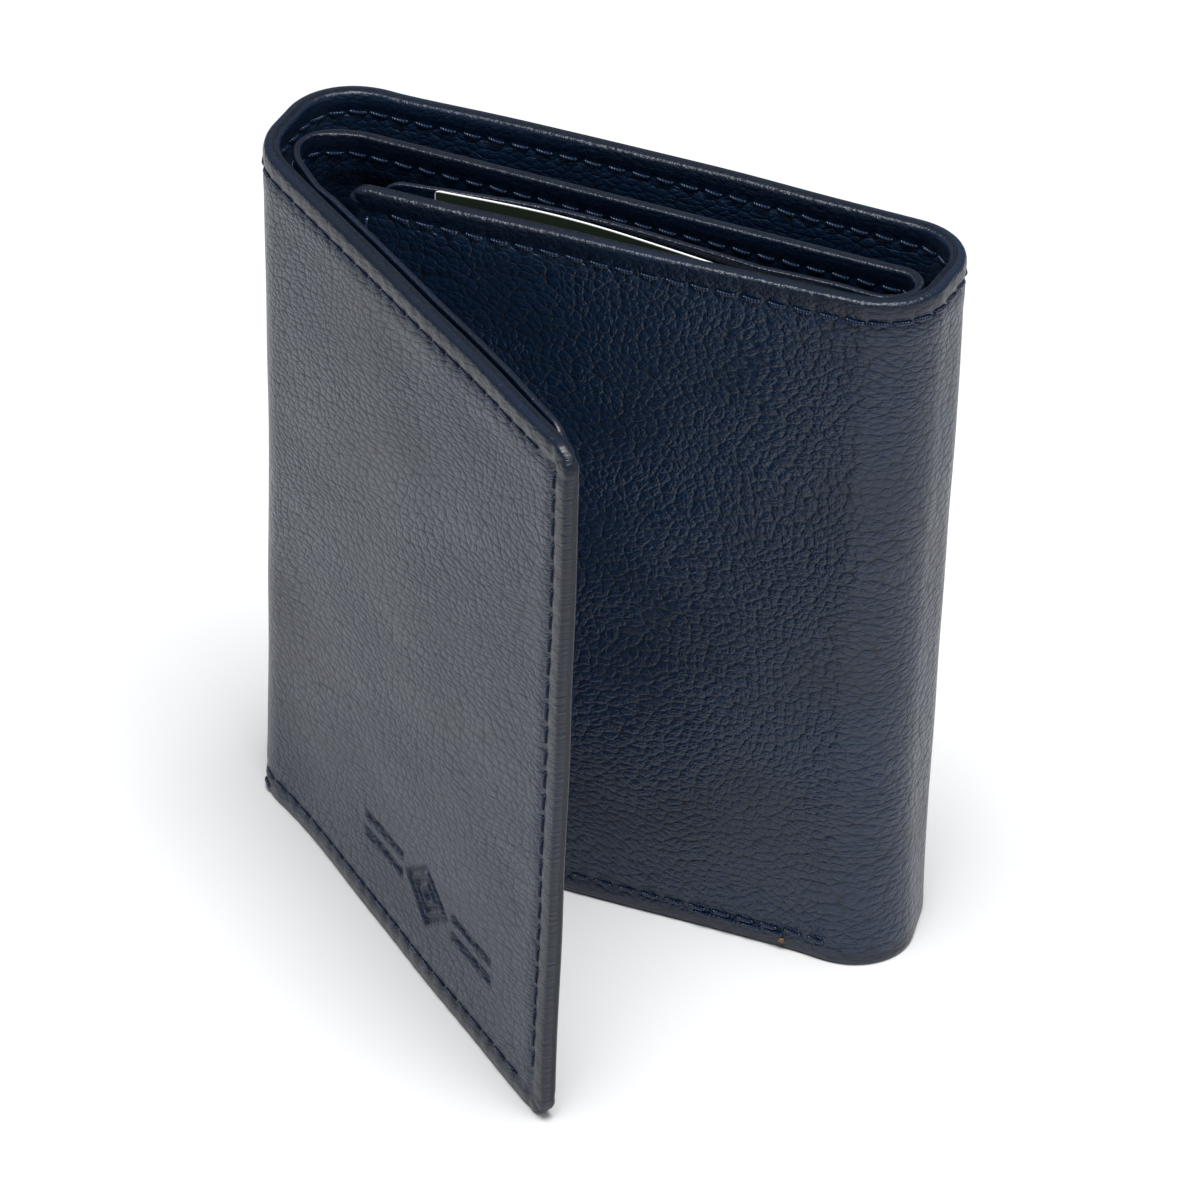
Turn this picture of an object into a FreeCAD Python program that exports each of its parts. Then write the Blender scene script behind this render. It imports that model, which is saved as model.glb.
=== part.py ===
import FreeCAD, Part
import Sketcher
import math
import os

# Trifold wallet: three leather panels joined by two rounded folds, standing on their bottom edges.
# +Z is up.  X runs along the centre panel, from the left fold to the right fold.  +Y is the back.
# The origin is in the middle of the centre panel's bottom edge.
# Every panel is described in its own frame: x along the panel, y inwards from the outer leather, z up.

DIMENSIONS = {
    # panels
    "wallet_height": 105.0,
    "centre_length": 76.6,
    "flap_length": 79.2,
    "inner_length": 71.6,
    "flap_angle": 36.0,
    "inner_angle": 3.5,
    # leather, board, cloth and thread
    "leather": 1.1,
    "board": 0.6,
    "cloth": 0.3,
    "clearance": 0.05,
    "hem_depth": 2.6,
    "hem_return": 0.8,
    "hem_width": 9.0,
    "seam_inset": 3.0,
    "thread": 0.4,
    "thread_proud": 0.25,
    # folds
    "left_back_radius": 10.5,
    "left_straight": 4.3,
    "left_front_radius": 12.4,
    "right_radius": 9.2,
    "right_straight": 5.0,
    "gusset_leather": 0.8,
    "left_gusset_radius": 5.9,
    "right_gusset_radius": 4.2,
    # bill divider of the centre panel
    "divider_length": 75.0,
    "divider_height": 101.5,
    "divider_leather": 1.0,
    "divider_lip": 1.8,
    "divider_lip_width": 7.0,
    "divider_tilt": 5.0,
    "divider_foot": 1.2,
    "divider_gap": 0.2,
    "left_gusset_gap": 0.9,
    "right_gusset_gap": 0.6,
    "left_gusset_turn": 115.0,
    "right_gusset_start": -60.0,
    "right_gusset_turn": 150.0,
    # pockets
    "pocket_leather": 0.6,
    "pocket_height": 99.0,
    "pocket_foot": 1.6,
    "leaf_leather": 0.5,
    "leaf_height": 90.0,
    "leaf_foot": 2.6,
    "leaf_length": 62.0,
    "flap_leaf_length": 57.5,
    "leaf_step": 9.0,
    "centre_leaf_start": 6.0,
    "flap_leaf_start": 19.0,
    "flap_backing_start": 6.0,
    "flap_backing_end": 2.0,
    "inner_backing_start": 2.0,
    # see-through pocket of the inner panel
    "window_sheet": 0.25,
    "window_length": 58.0,
    "window_height": 86.0,
    "window_foot": 6.0,
    "window_frame": 6.0,
    "window_overlap": 2.0,
    # loose paper insert
    "paper": 0.25,
    "paper_length": 56.0,
    "paper_height": 98.0,
    "paper_start": 11.0,
    "paper_foot": 5.0,
    "paper_gap": 0.4,
}

doc = FreeCAD.newDocument("trifold_wallet")
sheet = doc.addObject("Spreadsheet::Sheet", "dims")
for row, (alias, value) in enumerate(DIMENSIONS.items(), start=1):
    sheet.set("A%d" % row, alias.replace("_", " "))
    sheet.set("B%d" % row, str(value))
    sheet.setAlias("B%d" % row, alias)
doc.recompute()

NODES = []


def cell(alias):
    """Value of one driving dimension."""
    return float(getattr(sheet, alias))


def vector(x, y, z):
    return FreeCAD.Vector(x, y, z)


def turned(degrees, x=0.0, y=0.0, z=0.0):
    """Placement turned about +Z and then moved."""
    return FreeCAD.Placement(vector(x, y, z), FreeCAD.Rotation(vector(0, 0, 1), degrees))


def moved(x, y, z):
    return turned(0.0, x, y, z)


def keep(feature, label):
    """Name a finished sub-part and list it for export."""
    feature.Label = label
    NODES.append(feature)
    return feature


def box(name, length, width, height, placement):
    """Box whose three sizes are expressions of the sheet."""
    feature = doc.addObject("Part::Box", name)
    feature.setExpression("Length", length)
    feature.setExpression("Width", width)
    feature.setExpression("Height", height)
    feature.Placement = placement
    return feature


def joined(name, shapes):
    feature = doc.addObject("Part::MultiFuse", name)
    feature.Shapes = shapes
    return feature


def without(name, base, tool):
    feature = doc.addObject("Part::Cut", name)
    feature.Base = base
    feature.Tool = tool
    return feature


def sector(name, radius, height, degrees, placement):
    """Solid sector of a cylinder that starts on the placement's x axis."""
    feature = doc.addObject("Part::Cylinder", name)
    feature.setExpression("Radius", radius)
    feature.setExpression("Height", height)
    feature.setExpression("Angle", degrees)
    feature.Placement = placement
    return feature


def bent_strip(name, radius, thickness, height, degrees, placement):
    """Strip of leather bent round a vertical axis; radius is to its outer face."""
    outside = sector(name + "_outside", radius, height, degrees, placement)
    inside = sector(name + "_inside", "%s - %s" % (radius, thickness), height, "360", placement)
    return without(name, outside, inside)


def origin_plane(body, role):
    return next(f for f in body.Origin.OriginFeatures if f.Role == role)


def stepped_sketch(body, name, role, corners):
    """Closed sketch of horizontal and vertical lines through corners given as pairs of expressions."""
    sketch = body.newObject("Sketcher::SketchObject", name)
    sketch.AttachmentSupport = [(origin_plane(body, role), "")]
    sketch.MapMode = "FlatFace"
    points = [vector(evaluate(across), evaluate(up), 0) for across, up in corners]
    count = len(points)
    for i in range(count):
        sketch.addGeometry(Part.LineSegment(points[i], points[(i + 1) % count]), False)
    constrain = Sketcher.Constraint
    for i in range(count):
        following = (i + 1) % count
        upright = abs(points[i].x - points[following].x) < 1e-9
        sketch.addConstraint(constrain("Coincident", i, 2, following, 1))
        sketch.addConstraint(constrain("Vertical" if upright else "Horizontal", i))
        expression = corners[i][0] if upright else corners[i][1]
        value = evaluate(expression)
        if abs(value) < 1e-9:
            sketch.addConstraint(constrain("PointOnObject", i, 1, -2 if upright else -1))
            continue
        kind = "DistanceX" if upright else "DistanceY"
        index = sketch.addConstraint(constrain(kind, -1, 1, i, 1, value))
        sketch.setExpression("Constraints[%d]" % index, expression)
    return sketch


def evaluate(expression):
    """Value of a sum of cells and numbers, as the sheet would work it out."""
    return float(sheet.evalExpression(expression))


def pad(body, sketch, name, length):
    feature = body.newObject("PartDesign::Pad", name)
    feature.Profile = sketch
    feature.setExpression("Length", length)
    sketch.Visibility = False
    return feature


def hemmed_cover(label, length, free_end, placement):
    """Outer leather of a panel, turned over at the top, the bottom and, on an end panel, the free side."""
    body = doc.addObject("PartDesign::Body", label)
    height, skin, depth = "dims.wallet_height", "dims.leather", "dims.hem_depth"
    lip = "dims.hem_depth - dims.hem_return"
    profile = [
        ("0", "0"),
        (depth, "0"),
        (depth, "dims.hem_width"),
        (lip, "dims.hem_width"),
        (lip, skin),
        (skin, skin),
        (skin, height + " - " + skin),
        (lip, height + " - " + skin),
        (lip, height + " - dims.hem_width"),
        (depth, height + " - dims.hem_width"),
        (depth, height),
        ("0", height),
    ]
    pad(body, stepped_sketch(body, label + "_profile", "YZ_Plane", profile), label + "_leather", length)
    if free_end:
        from_edge = "%s" if free_end == "start" else length + " - %s"
        edge = "0" if free_end == "start" else length
        side = [
            (from_edge % "dims.hem_width", lip),
            (from_edge % "dims.hem_width", depth),
            (edge, depth),
            (edge, "0"),
            (from_edge % skin, "0"),
            (from_edge % skin, lip),
        ]
        pad(body, stepped_sketch(body, label + "_side", "XY_Plane", side), label + "_side_hem", height)
    body.Placement = placement
    return keep(body, label)


def panel_core(prefix, length, free_end, placement):
    """Board and cloth lining that lie inside a panel's turned leather."""
    gap, skin = cell("clearance"), cell("leather")
    start = skin + gap if free_end == "start" else gap
    trim = "%s - 2*dims.clearance" % length
    if free_end:
        trim += " - dims.leather"
    foot = skin + gap
    size = ("dims.wallet_height - 2*dims.leather - 2*dims.clearance", "dims.board")
    board = box(prefix + "_board", trim, size[1], size[0], placement * moved(start, foot, foot))
    keep(board, prefix + "_stiffener_board")
    depth = cell("hem_depth") - cell("hem_return") + gap
    hem = cell("hem_width") + gap
    start = hem if free_end == "start" else gap
    trim = "%s - 2*dims.clearance" % length
    if free_end:
        trim += " - dims.hem_width"
    height = "dims.wallet_height - 2*dims.hem_width - 2*dims.clearance"
    cloth = box(prefix + "_cloth", trim, "dims.cloth", height, placement * moved(start, depth, hem))
    keep(cloth, prefix + "_lining")


def seam_rows(label, length, placement, free_end=None):
    """Thread lying on the outer leather: rows along the top and bottom, and down a free side."""
    inset, thread, proud = cell("seam_inset"), cell("thread"), cell("thread_proud")
    run = "%s - dims.seam_inset" % length if free_end else length
    start = inset if free_end == "start" else 0.0
    high = cell("wallet_height") - inset - thread
    rows = []
    for end, level in (("bottom", inset), ("top", high)):
        place = placement * moved(start, -proud, level)
        rows.append(box("%s_%s" % (label, end), run, "dims.thread_proud", "dims.thread", place))
    if free_end:
        across = inset if free_end == "start" else evaluate(run) - thread
        column = "dims.wallet_height - 2*dims.seam_inset"
        place = placement * moved(across, -proud, inset)
        rows.append(box(label + "_side", "dims.thread", "dims.thread_proud", column, place))
    keep(joined(label, rows), label)


def card_leaves(prefix, count, start, depth, placement, longest, shift=0.0):
    """Card pocket leaves sewn one over the other, each one step shorter, with upright mouths."""
    for i in range(count):
        place = placement * moved(
            start + i * shift, depth + i * cell("leaf_leather"), cell("leaf_foot")
        )
        length = "dims.%s - %d*dims.leaf_step" % (longest, i)
        label = "%s_card_leaf_%d" % (prefix, i + 1)
        keep(box(label, length, "dims.leaf_leather", "dims.leaf_height", place), label)


# ---- where the panels and the folds lie ---------------------------------------------------------

outer_face = cell("hem_depth") / 2
half_length = cell("centre_length") / 2

left_back = vector(-half_length, outer_face - cell("left_back_radius"), 0)
left_front = vector(
    left_back.x - cell("left_back_radius") + cell("left_front_radius"),
    left_back.y - cell("left_straight"),
    0,
)
flap_turn = 90.0 - cell("flap_angle")
flap_start = math.radians(180.0 + flap_turn)
flap_place = turned(
    -cell("flap_angle"),
    left_front.x + cell("left_front_radius") * math.cos(flap_start),
    left_front.y + cell("left_front_radius") * math.sin(flap_start),
)

right_back = vector(half_length, outer_face - cell("right_radius"), 0)
right_front = vector(half_length, right_back.y - cell("right_straight"), 0)
inner_end = math.radians(-90.0 + cell("inner_angle"))
inner_place = turned(
    cell("inner_angle"),
    right_front.x + cell("right_radius") * math.cos(inner_end),
    right_front.y + cell("right_radius") * math.sin(inner_end),
) * moved(-cell("inner_length"), 0, 0)

centre_place = turned(180.0, half_length, outer_face)

# ---- three panels: leather, board, lining and seam ----------------------------------------------

PANELS = (
    ("centre", "dims.centre_length", None, centre_place),
    ("flap", "dims.flap_length", "end", flap_place),
    ("inner_panel", "dims.inner_length", "start", inner_place),
)

for prefix, length, free_end, placement in PANELS:
    hemmed_cover(prefix + "_cover", length, free_end, placement)
    panel_core(prefix, length, free_end, placement)
    seam_rows(prefix + "_seam_thread", length, placement, free_end)

# ---- folds: outer leather bent round the spine of the wallet -------------------------------------


def fold_strip(label, corners, straights, thickness, height, foot):
    """Bent strips and the straight strips between them, as one piece of leather."""
    parts = []
    for i, (centre, radius, first, degrees) in enumerate(corners):
        place = turned(first, centre.x, centre.y, foot)
        parts.append(bent_strip("%s_bend_%d" % (label, i), radius, thickness, height, degrees, place))
    for i, (length, place) in enumerate(straights):
        parts.append(box("%s_straight_%d" % (label, i), thickness, length, height, place))
    return keep(parts[0] if len(parts) == 1 else joined(label, parts), label)


full_height = "dims.wallet_height"
left_edge = left_back.x - cell("left_back_radius")
right_edge = right_back.x + cell("right_radius")
front_degrees = "90 - dims.flap_angle"
right_degrees = "90 - dims.inner_angle"

fold_strip(
    "left_fold_back_cover",
    [(left_back, "dims.left_back_radius", 90.0, "90")],
    [("dims.left_straight", moved(left_edge, left_front.y, 0))],
    "dims.leather",
    full_height,
    0.0,
)
fold_strip(
    "left_fold_front_cover",
    [(left_front, "dims.left_front_radius", 180.0, front_degrees)],
    [],
    "dims.leather",
    full_height,
    0.0,
)
fold_strip(
    "right_fold_cover",
    [
        (right_back, "dims.right_radius", 0.0, "90"),
        (right_front, "dims.right_radius", -90.0 + cell("inner_angle"), right_degrees),
    ],
    [("dims.right_straight", moved(right_edge - cell("leather"), right_front.y, 0))],
    "dims.leather",
    full_height,
    0.0,
)

# thread along the top of each fold, lying on the leather
thread_level = cell("wallet_height") - cell("seam_inset") - cell("thread")
proud = cell("thread_proud")
fold_strip(
    "left_fold_thread",
    [(left_back, "dims.left_back_radius + dims.thread_proud", 90.0, "90")],
    [("dims.left_straight", moved(left_edge - proud, left_front.y, thread_level))],
    "dims.thread_proud",
    "dims.thread",
    thread_level,
)
fold_strip(
    "right_fold_thread",
    [
        (right_back, "dims.right_radius + dims.thread_proud", 0.0, "90"),
        (
            right_front,
            "dims.right_radius + dims.thread_proud",
            -90.0 + cell("inner_angle"),
            right_degrees,
        ),
    ],
    [("dims.right_straight", moved(right_edge, right_front.y, thread_level))],
    "dims.thread_proud",
    "dims.thread",
    thread_level,
)

# ---- bill divider: the inner leather of the centre panel, leaning forwards from its bottom seam ---

divider_start = (cell("centre_length") - cell("divider_length")) / 2
divider_depth = cell("hem_depth") + cell("divider_gap")
lean = FreeCAD.Rotation(vector(1, 0, 0), -cell("divider_tilt"))
divider_place = (
    centre_place
    * moved(divider_start, divider_depth, cell("divider_foot"))
    * FreeCAD.Placement(vector(0, 0, 0), lean)
)
divider = doc.addObject("PartDesign::Body", "bill_divider")
divider_profile = [
    ("0", "0"),
    ("dims.divider_leather", "0"),
    ("dims.divider_leather", "dims.divider_height - dims.divider_lip_width"),
    ("dims.divider_lip", "dims.divider_height - dims.divider_lip_width"),
    ("dims.divider_lip", "dims.divider_height"),
    ("0", "dims.divider_height"),
]
divider_sketch = stepped_sketch(divider, "divider_profile", "YZ_Plane", divider_profile)
pad(divider, divider_sketch, "divider_leather", "dims.divider_length")
divider.Placement = divider_place
keep(divider, "bill_divider")

centre_leaf_start = cell("centre_leaf_start")
divider_leather = cell("divider_leather")
card_leaves("centre", 3, centre_leaf_start, divider_leather, divider_place, "leaf_length")
divider_seam = divider_place * moved(
    0, cell("divider_lip"), cell("divider_height") - cell("seam_inset")
)
keep(
    box("divider_thread", "dims.divider_length", "dims.thread_proud", "dims.thread", divider_seam),
    "divider_thread",
)

# folds of the inner leather, inside the two folds of the outer leather
gusset_face = outer_face - divider_depth
gusset_face -= cell("divider_height") * math.sin(math.radians(cell("divider_tilt")))
left_gusset_y = gusset_face - cell("left_gusset_radius") - cell("left_gusset_gap")
right_gusset_y = gusset_face - cell("right_gusset_radius") - cell("right_gusset_gap")
left_gusset = vector(-cell("divider_length") / 2, left_gusset_y, 0)
right_gusset = vector(cell("divider_length") / 2, right_gusset_y, 0)
right_gusset_start = cell("right_gusset_start")
gusset_height = "dims.divider_height"
fold_strip(
    "left_fold_gusset",
    [(left_gusset, "dims.left_gusset_radius", 90.0, "dims.left_gusset_turn")],
    [],
    "dims.gusset_leather",
    gusset_height,
    cell("divider_foot"),
)
fold_strip(
    "right_fold_gusset",
    [(right_gusset, "dims.right_gusset_radius", right_gusset_start, "dims.right_gusset_turn")],
    [],
    "dims.gusset_leather",
    gusset_height,
    cell("divider_foot"),
)

# ---- flap pockets ---------------------------------------------------------------------------------

flap_backing_start = cell("flap_backing_start")
flap_backing = flap_place * moved(flap_backing_start, cell("hem_depth"), cell("pocket_foot"))
keep(
    box(
        "flap_backing",
        "dims.flap_length - dims.flap_backing_start - dims.flap_backing_end",
        "dims.pocket_leather",
        "dims.wallet_height - 2*dims.pocket_foot",
        flap_backing,
    ),
    "flap_pocket_backing",
)
card_leaves(
    "flap",
    2,
    cell("flap_leaf_start"),
    cell("hem_depth") + cell("pocket_leather"),
    flap_place,
    "flap_leaf_length",
    cell("leaf_step"),
)

# ---- inner panel: bill pocket with a loose paper insert, and a see-through pocket ------------------

insert_depth = cell("hem_depth") + cell("paper_gap")
backing_depth = insert_depth + cell("paper") + cell("paper_gap")
keep(
    box(
        "paper_insert",
        "dims.paper_length",
        "dims.paper",
        "dims.paper_height",
        inner_place * moved(cell("paper_start"), insert_depth, cell("paper_foot")),
    ),
    "paper_insert",
)
keep(
    box(
        "inner_backing",
        "dims.inner_length - 2*dims.inner_backing_start",
        "dims.pocket_leather",
        "dims.pocket_height",
        inner_place * moved(cell("inner_backing_start"), backing_depth, cell("pocket_foot")),
    ),
    "inner_pocket_backing",
)
window_depth = backing_depth + cell("pocket_leather")
window_start = (cell("inner_length") - cell("window_length")) / 2
keep(
    box(
        "window_sheet",
        "dims.window_length",
        "dims.window_sheet",
        "dims.window_height",
        inner_place * moved(window_start, window_depth, cell("window_foot")),
    ),
    "id_window",
)
overlap = cell("window_overlap")
frame_depth = window_depth + cell("window_sheet")
frame_place = inner_place * moved(window_start - overlap, frame_depth, cell("window_foot") - overlap)
frame_blank = box(
    "window_blank",
    "dims.window_length + 2*dims.window_overlap",
    "dims.leaf_leather",
    "dims.window_height + 2*dims.window_overlap",
    frame_place,
)
frame_width = cell("window_frame")
frame_hole = box(
    "window_hole",
    "dims.window_length + 2*dims.window_overlap - 2*dims.window_frame",
    "3*dims.leaf_leather",
    "dims.window_height + 2*dims.window_overlap - 2*dims.window_frame",
    frame_place * moved(frame_width, -cell("leaf_leather"), frame_width),
)
keep(without("window_frame", frame_blank, frame_hole), "id_window_frame")

# ---- check and write --------------------------------------------------------------------------------

doc.recompute()
for feature in doc.Objects:
    bad = [state for state in feature.State if state in ("Invalid", "Error")]
    if bad:
        raise RuntimeError("%s: %s" % (feature.Label, bad))

os.makedirs("parts", exist_ok=True)
for feature in NODES:
    shape = feature.Shape
    if shape.isNull() or not shape.isValid():
        raise RuntimeError("%s has no valid shape" % feature.Label)
    shape.exportStep("parts/%s.step" % feature.Label)
    limits = shape.BoundBox
    print(
        "%-26s %7.0f mm3  x %6.1f %6.1f  y %6.1f %6.1f  z %6.1f %6.1f"
        % (
            feature.Label,
            shape.Volume,
            limits.XMin,
            limits.XMax,
            limits.YMin,
            limits.YMax,
            limits.ZMin,
            limits.ZMax,
        )
    )
print("%d nodes" % len(NODES))
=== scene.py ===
import math
import random

import bpy
import numpy as np
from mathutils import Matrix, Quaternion, Vector


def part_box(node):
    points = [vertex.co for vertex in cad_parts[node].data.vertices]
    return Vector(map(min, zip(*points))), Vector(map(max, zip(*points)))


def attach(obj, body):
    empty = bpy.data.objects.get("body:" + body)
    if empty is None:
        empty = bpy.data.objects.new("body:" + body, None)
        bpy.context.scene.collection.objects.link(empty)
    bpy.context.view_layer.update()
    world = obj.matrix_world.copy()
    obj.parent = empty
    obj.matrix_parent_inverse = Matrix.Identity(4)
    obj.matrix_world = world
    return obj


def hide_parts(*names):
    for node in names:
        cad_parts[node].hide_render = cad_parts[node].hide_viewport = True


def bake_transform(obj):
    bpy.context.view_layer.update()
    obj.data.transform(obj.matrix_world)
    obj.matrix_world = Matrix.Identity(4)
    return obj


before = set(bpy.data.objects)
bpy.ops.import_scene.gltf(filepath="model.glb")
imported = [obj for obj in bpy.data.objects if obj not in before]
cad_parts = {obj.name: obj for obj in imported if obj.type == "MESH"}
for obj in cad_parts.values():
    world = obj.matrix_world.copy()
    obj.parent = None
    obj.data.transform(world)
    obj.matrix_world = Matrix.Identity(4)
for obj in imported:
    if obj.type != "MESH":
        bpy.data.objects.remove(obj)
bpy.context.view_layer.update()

# Leather trifold wallet.  Lengths are in metres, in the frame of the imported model: +Z up, +X along the
# centre panel, +Y to the back.  The outer leather follows a plan line (the route) from the flap's free
# edge round the left fold, along the back, round the right fold and along the inner panel.

MM = 0.001

# ---- driving dimensions ----

cover_low, cover_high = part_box("centre_cover")
left_low, left_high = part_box("left_fold_back_cover")
right_low, right_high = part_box("right_fold_cover")

HEIGHT = cover_high.z
HALF = cover_high.x
BACK_Y = cover_high.y
HEM_DEPTH = cover_high.y - cover_low.y
FLAP_TURN = 36.0
INNER_TURN = 3.5
FLAP_LENGTH = 79.2 * MM
INNER_LENGTH = 71.6 * MM
LEFT_BACK_RADIUS = -HALF - left_low.x
LEFT_STRAIGHT = BACK_Y - LEFT_BACK_RADIUS - left_low.y
LEFT_FRONT_RADIUS = 12.4 * MM
RIGHT_RADIUS = right_high.x - HALF
RIGHT_STRAIGHT = BACK_Y - right_low.y - RIGHT_RADIUS * (1 + math.cos(math.radians(INNER_TURN)))

HEM = 2.25 * MM
HEM_WIDTH = 8.5 * MM
LINING_DEPTH = 1.85 * MM
SEAM = 3.1 * MM
PITCH = 3.5 * MM
CORNER = 3.4 * MM
THREAD = 0.31 * MM
FAR = 1.0  # stands for the distance from an edge that plays no part


# ---- plan line of the outer leather ----


class Route:
    """Plan line made of straight runs and clockwise arcs; the outer face is on its left."""

    def __init__(self, point, heading):
        self.legs = []
        self.point = np.array(point, float)
        self.heading = math.radians(heading)
        self.length = 0.0

    def run(self, length):
        along = np.array([math.cos(self.heading), math.sin(self.heading)])
        self.legs.append((self.length, self.point.copy(), self.heading, 0.0))
        self.point += along * length
        self.length += length
        return self.length

    def arc(self, radius, degrees):
        self.legs.append((self.length, self.point.copy(), self.heading, 1 / radius))
        turn = math.radians(degrees)
        right = np.array([math.sin(self.heading), -math.cos(self.heading)])
        centre = self.point + right * radius
        self.heading -= turn
        right = np.array([math.sin(self.heading), -math.cos(self.heading)])
        self.point = centre - right * radius
        self.length += radius * turn
        return self.length

    def at(self, s):
        """Points and outward directions at distances s, which may run past either end."""
        s = np.asarray(s, float)
        points, headings = np.zeros(s.shape + (2,)), np.zeros(s.shape)
        for i, (begin, point, heading, bend) in enumerate(self.legs):
            inside = s >= begin - 1e-12 if i else np.ones(s.shape, bool)
            d = s - begin
            if bend:
                a = heading - d * bend
                x = point[0] + (np.sin(heading) - np.sin(a)) / bend
                y = point[1] + (np.cos(a) - np.cos(heading)) / bend
            else:
                a = heading + 0 * d
                x, y = point[0] + d * math.cos(heading), point[1] + d * math.sin(heading)
            points[inside] = np.stack([x, y], -1)[inside]
            headings[inside] = a[inside]
        return points, np.stack([-np.sin(headings), np.cos(headings)], -1)


def flap_free_corner():
    """Plan point of the flap's free edge, worked back from the left fold."""
    centre_x = left_low.x + LEFT_FRONT_RADIUS
    centre_y = left_low.y
    end = math.radians(270 - FLAP_TURN)
    turn = math.radians(-FLAP_TURN)
    x = centre_x + LEFT_FRONT_RADIUS * math.cos(end) + FLAP_LENGTH * math.cos(turn)
    y = centre_y + LEFT_FRONT_RADIUS * math.sin(end) + FLAP_LENGTH * math.sin(turn)
    return x, y


route = Route(flap_free_corner(), 180 - FLAP_TURN)
S_FLAP = route.run(FLAP_LENGTH)
S_LEFT_FRONT = route.arc(LEFT_FRONT_RADIUS, 90 - FLAP_TURN)
S_LEFT_SPINE = route.run(LEFT_STRAIGHT)
S_LEFT_BACK = route.arc(LEFT_BACK_RADIUS, 90)
S_CENTRE = route.run(2 * HALF)
S_RIGHT_BACK = route.arc(RIGHT_RADIUS, 90)
S_RIGHT_SPINE = route.run(RIGHT_STRAIGHT)
S_RIGHT_FRONT = route.arc(RIGHT_RADIUS, 90 - INNER_TURN)
S_END = route.run(INNER_LENGTH)
S_MIDDLE = (S_LEFT_BACK + S_CENTRE) / 2


def bump_shape(x, centre, width):
    """Smooth hump of height 1."""
    return np.exp(-(((x - centre) / width) ** 2))


def swell(s, z):
    """How far the soft leather stands out from the plan line."""
    up = z / HEIGHT
    low = np.clip(1 - up, 0, 1) ** 5
    bow = np.clip(1 - ((s - S_MIDDLE - 7 * MM) / (HALF + 6 * MM)) ** 2, 0, 1)
    back = 1.1 * MM * bow * up
    right = bump_shape(s, (S_RIGHT_BACK + S_RIGHT_FRONT) / 2, 9 * MM)
    right *= -0.3 * MM - 0.2 * MM * up + 2.2 * MM * low
    inner = (0.5 * MM - 1.4 * MM * up) * np.clip((s - S_RIGHT_SPINE) / (10 * MM), 0, 1)
    end = np.clip((s - S_RIGHT_FRONT) / INNER_LENGTH, 0, 1)
    inner -= 1.5 * MM * end * end * up * up + 0.3 * MM * end * inner / MM
    out = np.clip((1 - s / S_FLAP) / 0.75, 0, 1)
    flap = 1.5 * MM * (1 - up) * out * out * (3 - 2 * out)
    left = 1.0 * MM * low * bump_shape(s, S_FLAP + 6 * MM, 8 * MM)
    left -= 0.5 * MM * (1 - up) * bump_shape(s, S_LEFT_SPINE, 8 * MM)
    left += 0.5 * MM * up * up * bump_shape(s, S_LEFT_BACK - 8 * MM, 7 * MM)
    return back + right + inner + flap + left


def soft_noise(s, z):
    """Slow unevenness of hand-filled leather."""
    a = np.sin(s * 210 + 1.3 * np.sin(z * 95)) * np.sin(z * 130 + 0.8 * np.sin(s * 77))
    b = np.sin(s * 83 - z * 61 + 2.1)
    return 0.10 * MM * a + 0.09 * MM * b


def shell_place(s, z, depth):
    """Points at route distance s, height z and the given depth below the outer face."""
    points, normals = route.at(s)
    out = swell(s, z) + soft_noise(s, z) - depth
    flat = points + normals * out[..., None]
    return np.concatenate([flat, z[..., None]], -1)


# ---- sheets with rounded, turned edges ----


def sunk(delta, radius):
    """Depth of a rounded edge, squarer than a half circle, at distance delta from it."""
    square = 3.6
    inside = np.clip(1 - delta / radius, 0, 1)
    return radius * (1 - (1 - inside**square) ** (1 / square))


def edge_steps(radius, far):
    """Distances from an edge, close together where it is round."""
    angles = np.radians([0, 18, 36, 52, 66, 78, 90])
    near = list(radius * (1 - np.cos(angles)))
    more = np.arange(radius + 0.45 * MM, far, 0.5 * MM)
    return near + list(more)


def spaced(low, high, step, radius=None, stops=(), fine=()):
    """Grid values from low to high, finer near edges rounded to a radius, with the stops exactly on it."""
    near = edge_steps(radius, 4.2 * MM) if radius else [0.0]
    values = [low + d for d in near] + [high - d for d in near]
    inner_low, inner_high = low + near[-1], high - near[-1]
    count = max(2, int(round((inner_high - inner_low) / step)))
    values += list(np.linspace(inner_low, inner_high, count + 1))
    for a, b, fine_step in fine:
        values = [v for v in values if not a < v < b]
        values += list(np.arange(a, b, fine_step))
    values = [v for v in values if all(abs(v - stop) > 0.2 * MM for stop in stops)]
    values = sorted(values + list(stops))
    kept = [values[0]]
    for v in values[1:]:
        if v - kept[-1] > 0.02 * MM:
            kept.append(v)
    return np.array(kept)


def graded(low, high, step, radius, stops):
    """Grid values with all the stops kept, however close together they are."""
    plain = spaced(low, high, step, radius)
    kept = [v for v in plain if all(abs(v - stop) > 0.15 * MM for stop in stops)]
    return np.array(sorted(kept + list(stops)))


def even(s, z):
    """Grain coordinates of leather that is evenly grained."""
    return s * 0.8, z


def uncreased(s, z):
    """Share of creases on leather that has none."""
    return np.zeros(s.shape)


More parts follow.
